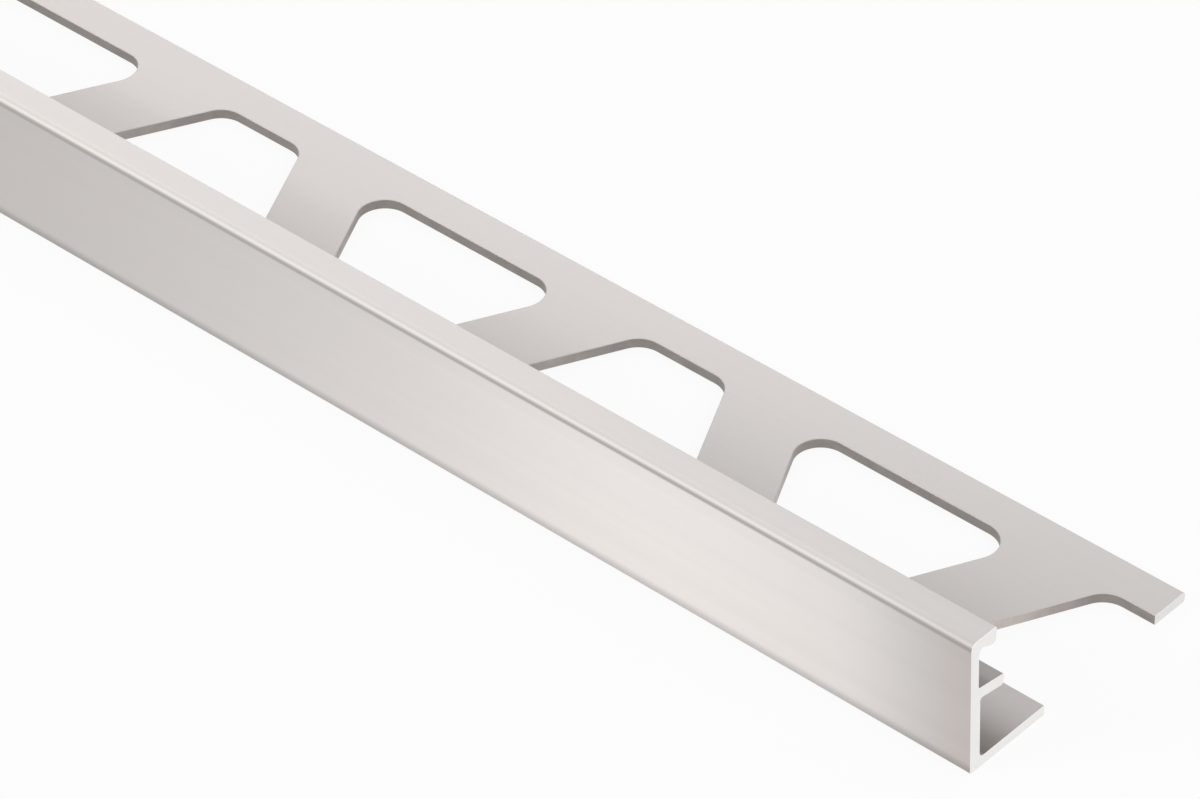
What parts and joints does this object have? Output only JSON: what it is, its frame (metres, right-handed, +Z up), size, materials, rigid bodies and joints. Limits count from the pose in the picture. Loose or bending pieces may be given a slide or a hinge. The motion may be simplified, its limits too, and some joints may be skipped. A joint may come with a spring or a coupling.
{
  "type": "tile edge trim",
  "caption": "Extruded aluminium edge trim for tiles: a narrow wall with a slim top lip and spacer rib, on a thin anchoring leg punched with trapezoid holes.",
  "frame": {"origin": "midway along the length and across the width of the trim's box, on the underside of the leg", "axes": "+X along the length towards the end sawn through a hole's middle, +Y from the visible wall towards the leg's free edge, +Z up from the leg's underside"},
  "size_m": [1, 0.0256, 0.0125],
  "materials": {
    "anodised_aluminium": "satin nickel-toned anodised, with fine brushing along the length and bare sawn ends"
  },
  "bodies": {
    "root": {"edge_trim": "anodised_aluminium"}
  },
  "joints": []
}
